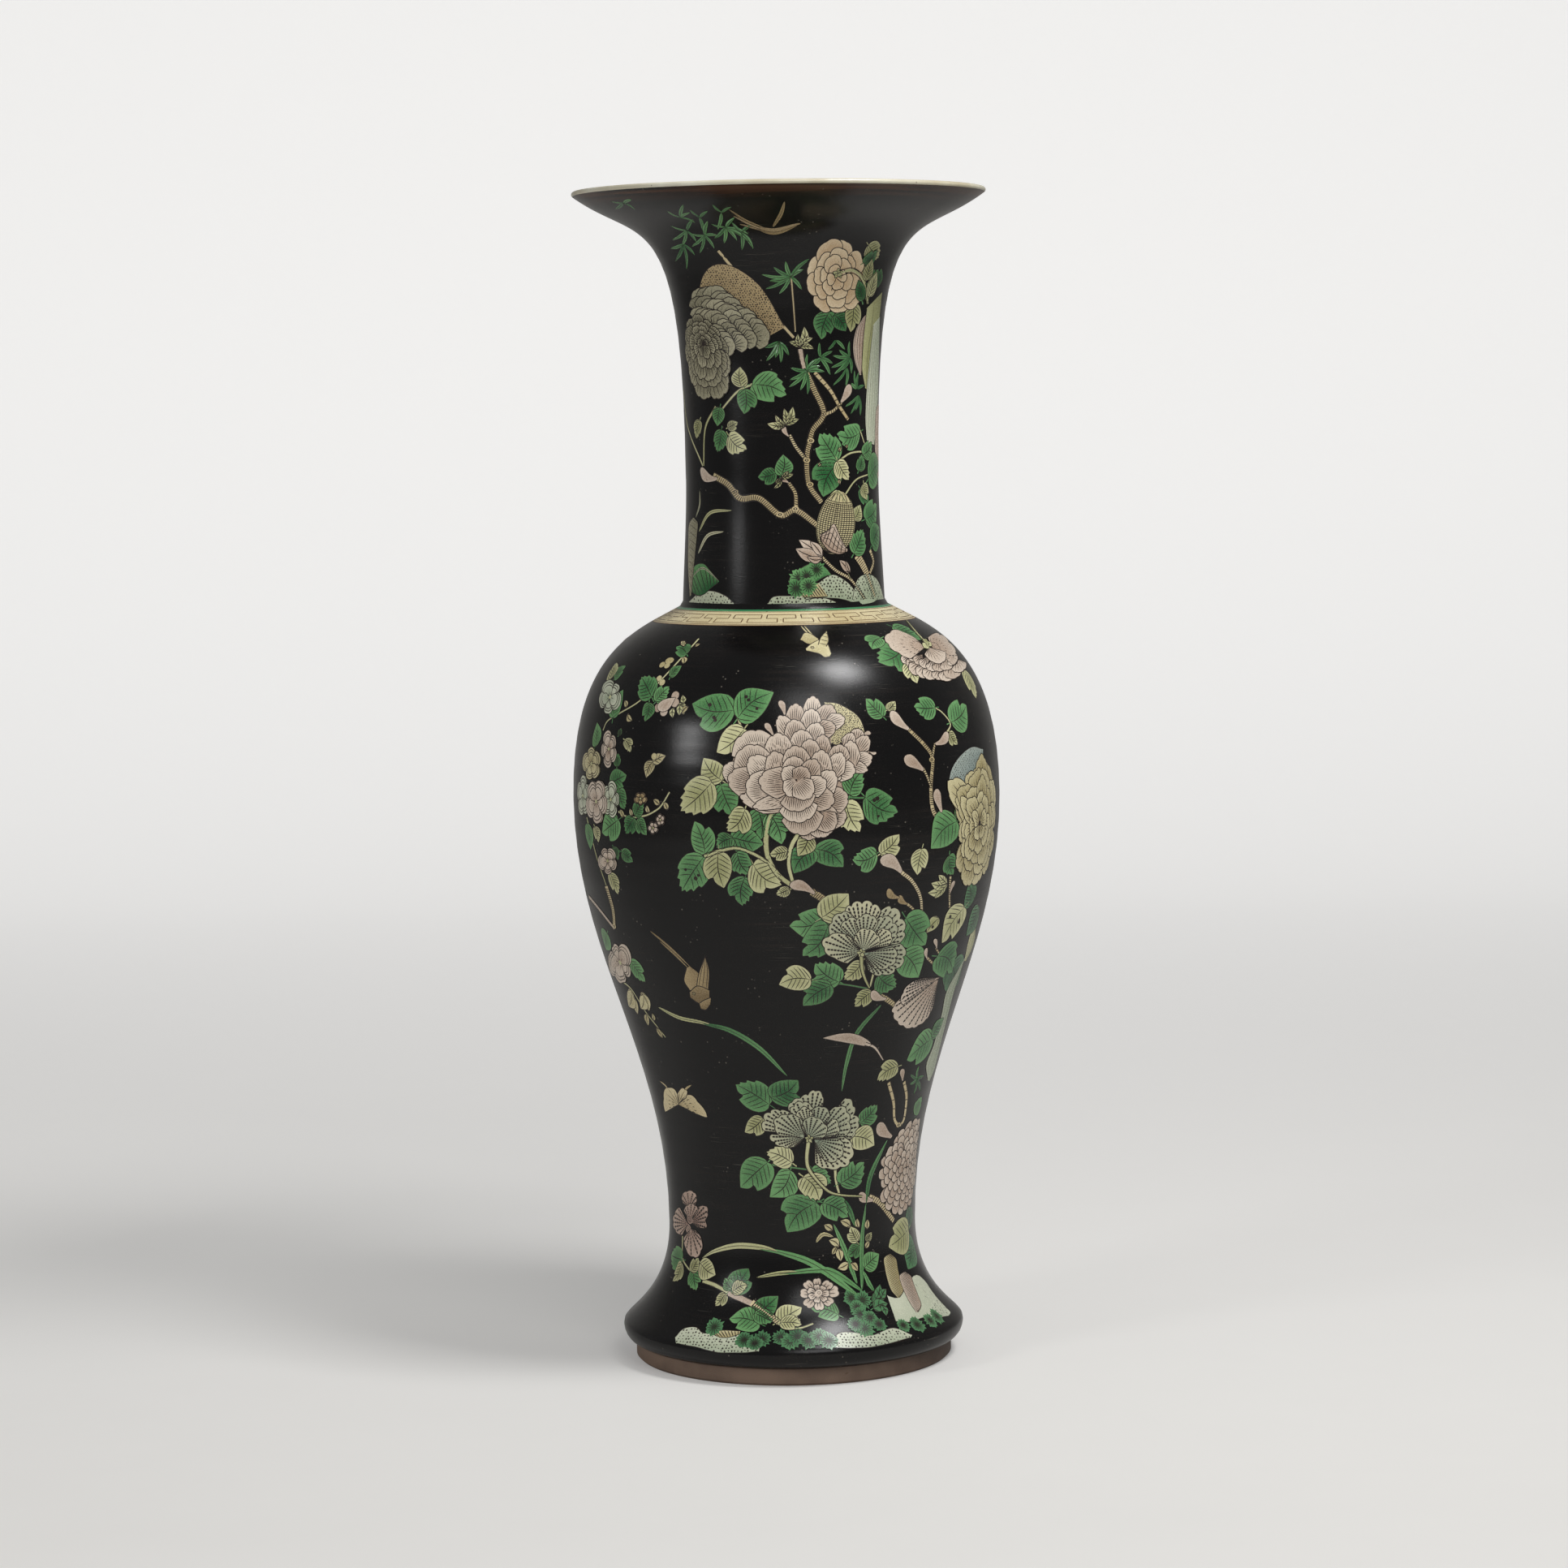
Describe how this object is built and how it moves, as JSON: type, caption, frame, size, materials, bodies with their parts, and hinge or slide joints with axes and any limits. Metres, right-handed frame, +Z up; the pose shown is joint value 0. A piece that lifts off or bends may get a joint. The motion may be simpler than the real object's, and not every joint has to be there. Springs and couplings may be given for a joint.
{
  "type": "yen yen vase",
  "caption": "Tall porcelain vase with a trumpet neck, high full shoulder and spread foot on a bare foot ring; black enamel ground, open at the top to hold stems.",
  "frame": {"origin": "centre of the foot ring, on the surface that the vase stands on", "axes": "+Z up along the axis of the vase, -Y towards the decorated front that the picture shows, +X to the right of that view"},
  "size_m": [0.256, 0.2558, 0.7],
  "materials": {
    "porcelain": "fired white porcelain under the coats",
    "slip_clay": "fired luting slip",
    "biscuit": "bare biscuit, stained and worn",
    "black_enamel": "glossy black enamel with fine wear and brownish specks",
    "green_enamel": "translucent green enamel",
    "yellow_enamel": "pale yellow enamel with brown fret lines",
    "pale_glaze": "pale dressed lip glaze with brown wear spots",
    "clear_glaze": "clear glossy glaze over porcelain"
  },
  "bodies": {
    "root": {"neck_section": "porcelain", "shoulder_section": "porcelain", "lower_body_section": "porcelain", "foot_section": "porcelain", "foot_ring": "biscuit", "base_disc": "porcelain", "neck_slip": "slip_clay", "belly_slip": "slip_clay", "waist_slip": "slip_clay", "base_slip": "slip_clay", "neck_ground": "black_enamel", "body_ground": "black_enamel", "green_line": "green_enamel", "key_fret_band": "yellow_enamel", "lip_glaze": "pale_glaze", "inner_glaze": "clear_glaze", "base_glaze": "clear_glaze"}
  },
  "joints": []
}
